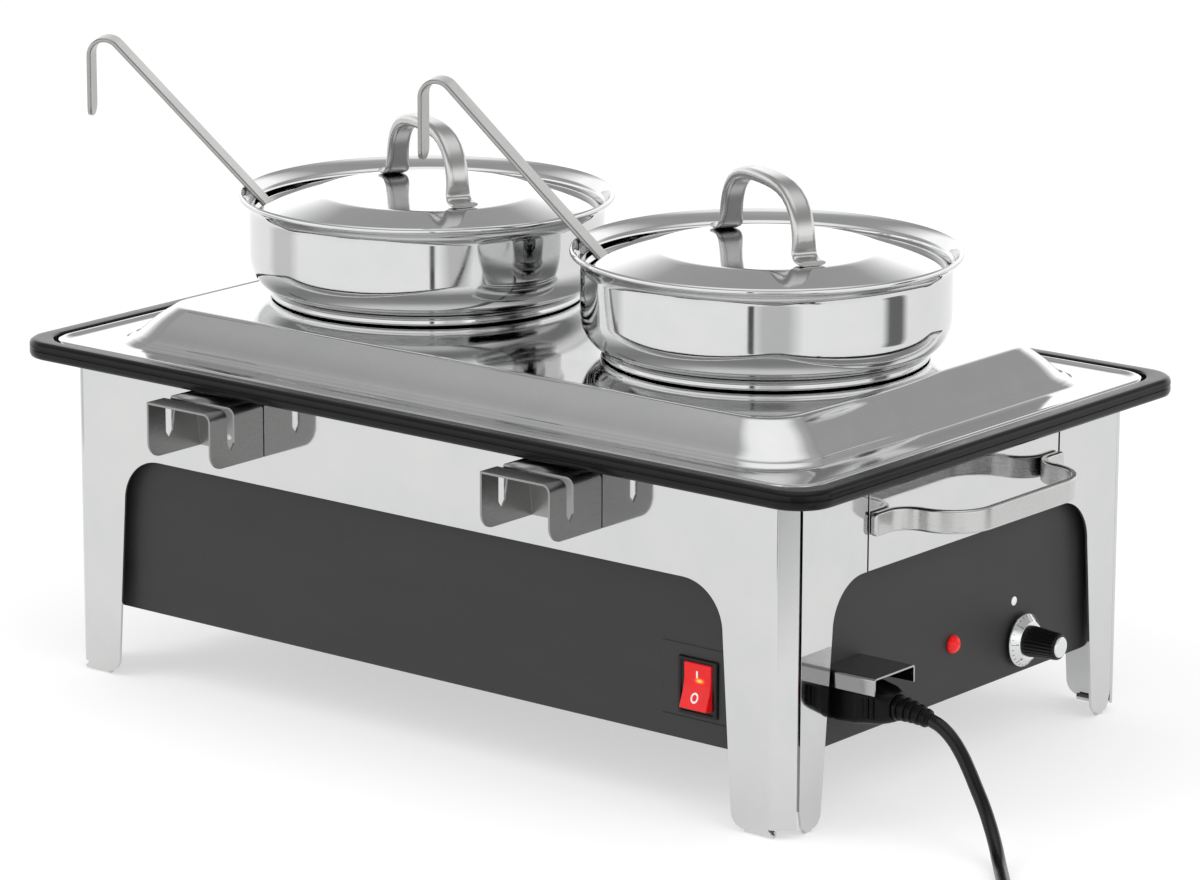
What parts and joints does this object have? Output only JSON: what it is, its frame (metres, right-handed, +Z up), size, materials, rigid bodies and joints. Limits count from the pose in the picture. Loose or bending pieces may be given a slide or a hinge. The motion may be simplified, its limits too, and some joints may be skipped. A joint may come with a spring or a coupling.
{
  "type": "steam table unit",
  "caption": "Countertop wet-heat food warmer: sheet-leg frame with water bath, lift-out round soup pots, lids, ladles, lid holders, power switch, heat dial and mains lead.",
  "frame": {"origin": "centre of the unit's footprint box, on the surface it stands on, with the free lead left out", "axes": "+X towards the dial and mains inlet, +Y towards the plain back, +Z up; the power switch and lid holders are on the -Y side"},
  "size_m": [0.8974, 0.4313, 0.3515],
  "materials": {
    "polished_skirt": "bright polished stainless sheet",
    "handle_steel": "polished flat bar",
    "fastener_steel": "plain machined steel",
    "rim_plastic": "satin black moulded rim",
    "pan_steel": "satin deep-drawn stainless",
    "housing_paint": "fine textured anthracite powder coat",
    "foot_rubber": "moulded black rubber",
    "element_steel": "heat-tinted sheath",
    "insulator": "moulded heat-proof insulator",
    "control_plastic": "black moulded plastic",
    "dial_silver": "silver finish with printed scale",
    "red_lens": "lit translucent red",
    "holder_steel": "satin brushed sheet with bright cut edges",
    "mirror_plate": "mirror polished",
    "mirror_pot": "mirror polished",
    "mirror_lid": "mirror polished",
    "grip_steel": "fine satin tube",
    "ladle_steel": "long-grain satin bar",
    "cord_rubber": "smooth black flexible PVC",
    "tie_plastic": "black tie strap"
  },
  "bodies": {
    "frame": {"front_skirt": "polished_skirt", "back_skirt": "polished_skirt", "right_front_leg": "polished_skirt", "right_back_leg": "polished_skirt", "left_front_leg": "polished_skirt", "left_back_leg": "polished_skirt", "right_panel": "polished_skirt", "left_panel": "polished_skirt", "right_handle": "handle_steel", "left_handle": "handle_steel", "right_handle_nut_a": "fastener_steel", "right_handle_nut_b": "fastener_steel", "left_handle_nut_a": "fastener_steel", "left_handle_nut_b": "fastener_steel", "rim_frame": "rim_plastic", "water_pan": "pan_steel", "housing_shell": "housing_paint", "housing_base": "housing_paint", "front_left_foot": "foot_rubber", "front_right_foot": "foot_rubber", "back_left_foot": "foot_rubber", "back_right_foot": "foot_rubber", "heating_element": "element_steel", "temperature_sensor": "element_steel", "thermal_cutout": "insulator", "terminal_block": "insulator", "thermostat_body": "control_plastic", "indicator_lamp": "red_lens", "switch_frame": "control_plastic", "inlet_socket": "control_plastic", "inlet_cover": "holder_steel", "left_holder_rivet_a": "fastener_steel", "left_holder_rivet_b": "fastener_steel", "right_holder_rivet_a": "fastener_steel", "right_holder_rivet_b": "fastener_steel", "left_lid_holder": "holder_steel", "right_lid_holder": "holder_steel"},
    "rocker": {"switch_rocker": "red_lens"},
    "dial": {"dial_spindle": "fastener_steel", "dial_skirt": "dial_silver", "dial_grip": "control_plastic", "dial_cap": "dial_silver"},
    "plate": {"top_plate": "mirror_plate"},
    "pot_left": {"left_pot": "mirror_pot"},
    "pot_right": {"right_pot": "mirror_pot"},
    "lid_left": {"left_lid": "mirror_lid", "left_lid_handle": "grip_steel"},
    "lid_right": {"right_lid": "mirror_lid", "right_lid_handle": "grip_steel"},
    "ladle_left": {"left_ladle_handle": "ladle_steel", "left_ladle_bowl": "ladle_steel"},
    "ladle_right": {"right_ladle_handle": "ladle_steel", "right_ladle_bowl": "ladle_steel"},
    "lead": {"mains_connector": "cord_rubber", "strain_relief": "cord_rubber", "mains_lead": "cord_rubber", "lead_coil": "cord_rubber", "coil_tie": "tie_plastic", "mains_plug": "cord_rubber"}
  },
  "joints": [
    {"name": "rocker_tilt", "type": "hinge", "parent": "frame", "child": "rocker", "pos_m": [0.191, -0.1355, 0.0705], "axis": [1, 0, 0], "range_deg": [0, 20]},
    {"name": "dial_turn", "type": "hinge", "parent": "frame", "child": "dial", "pos_m": [0.246, 0.076, 0.059], "axis": [1, 0, 0], "range_deg": [-90, 200]},
    {"name": "plate_lift", "type": "slide", "parent": "frame", "child": "plate", "axis": [0, 0, 1], "range_m": [0, 0.12]},
    {"name": "left_pot_lift", "type": "slide", "parent": "plate", "child": "pot_left", "axis": [0, 0, 1], "range_m": [0, 0.025]},
    {"name": "right_pot_lift", "type": "slide", "parent": "plate", "child": "pot_right", "axis": [0, 0, 1], "range_m": [0, 0.12]},
    {"name": "left_lid_lift", "type": "slide", "parent": "pot_left", "child": "lid_left", "axis": [0, 0, 1], "range_m": [0, 0.02]},
    {"name": "right_lid_lift", "type": "slide", "parent": "pot_right", "child": "lid_right", "axis": [0, 0, 1], "range_m": [0, 0.05]},
    {"name": "left_ladle_draw", "type": "slide", "parent": "pot_left", "child": "ladle_left", "axis": [-0.5983, -0.3454, 0.723], "range_m": [0, 0.05]},
    {"name": "right_ladle_draw", "type": "slide", "parent": "pot_right", "child": "ladle_right", "axis": [-0.636, -0.2699, 0.723], "range_m": [0, 0.05]},
    {"name": "lead_unplug", "type": "slide", "parent": "frame", "child": "lead", "axis": [1, 0, 0], "range_m": [0, 0.03]}
  ]
}
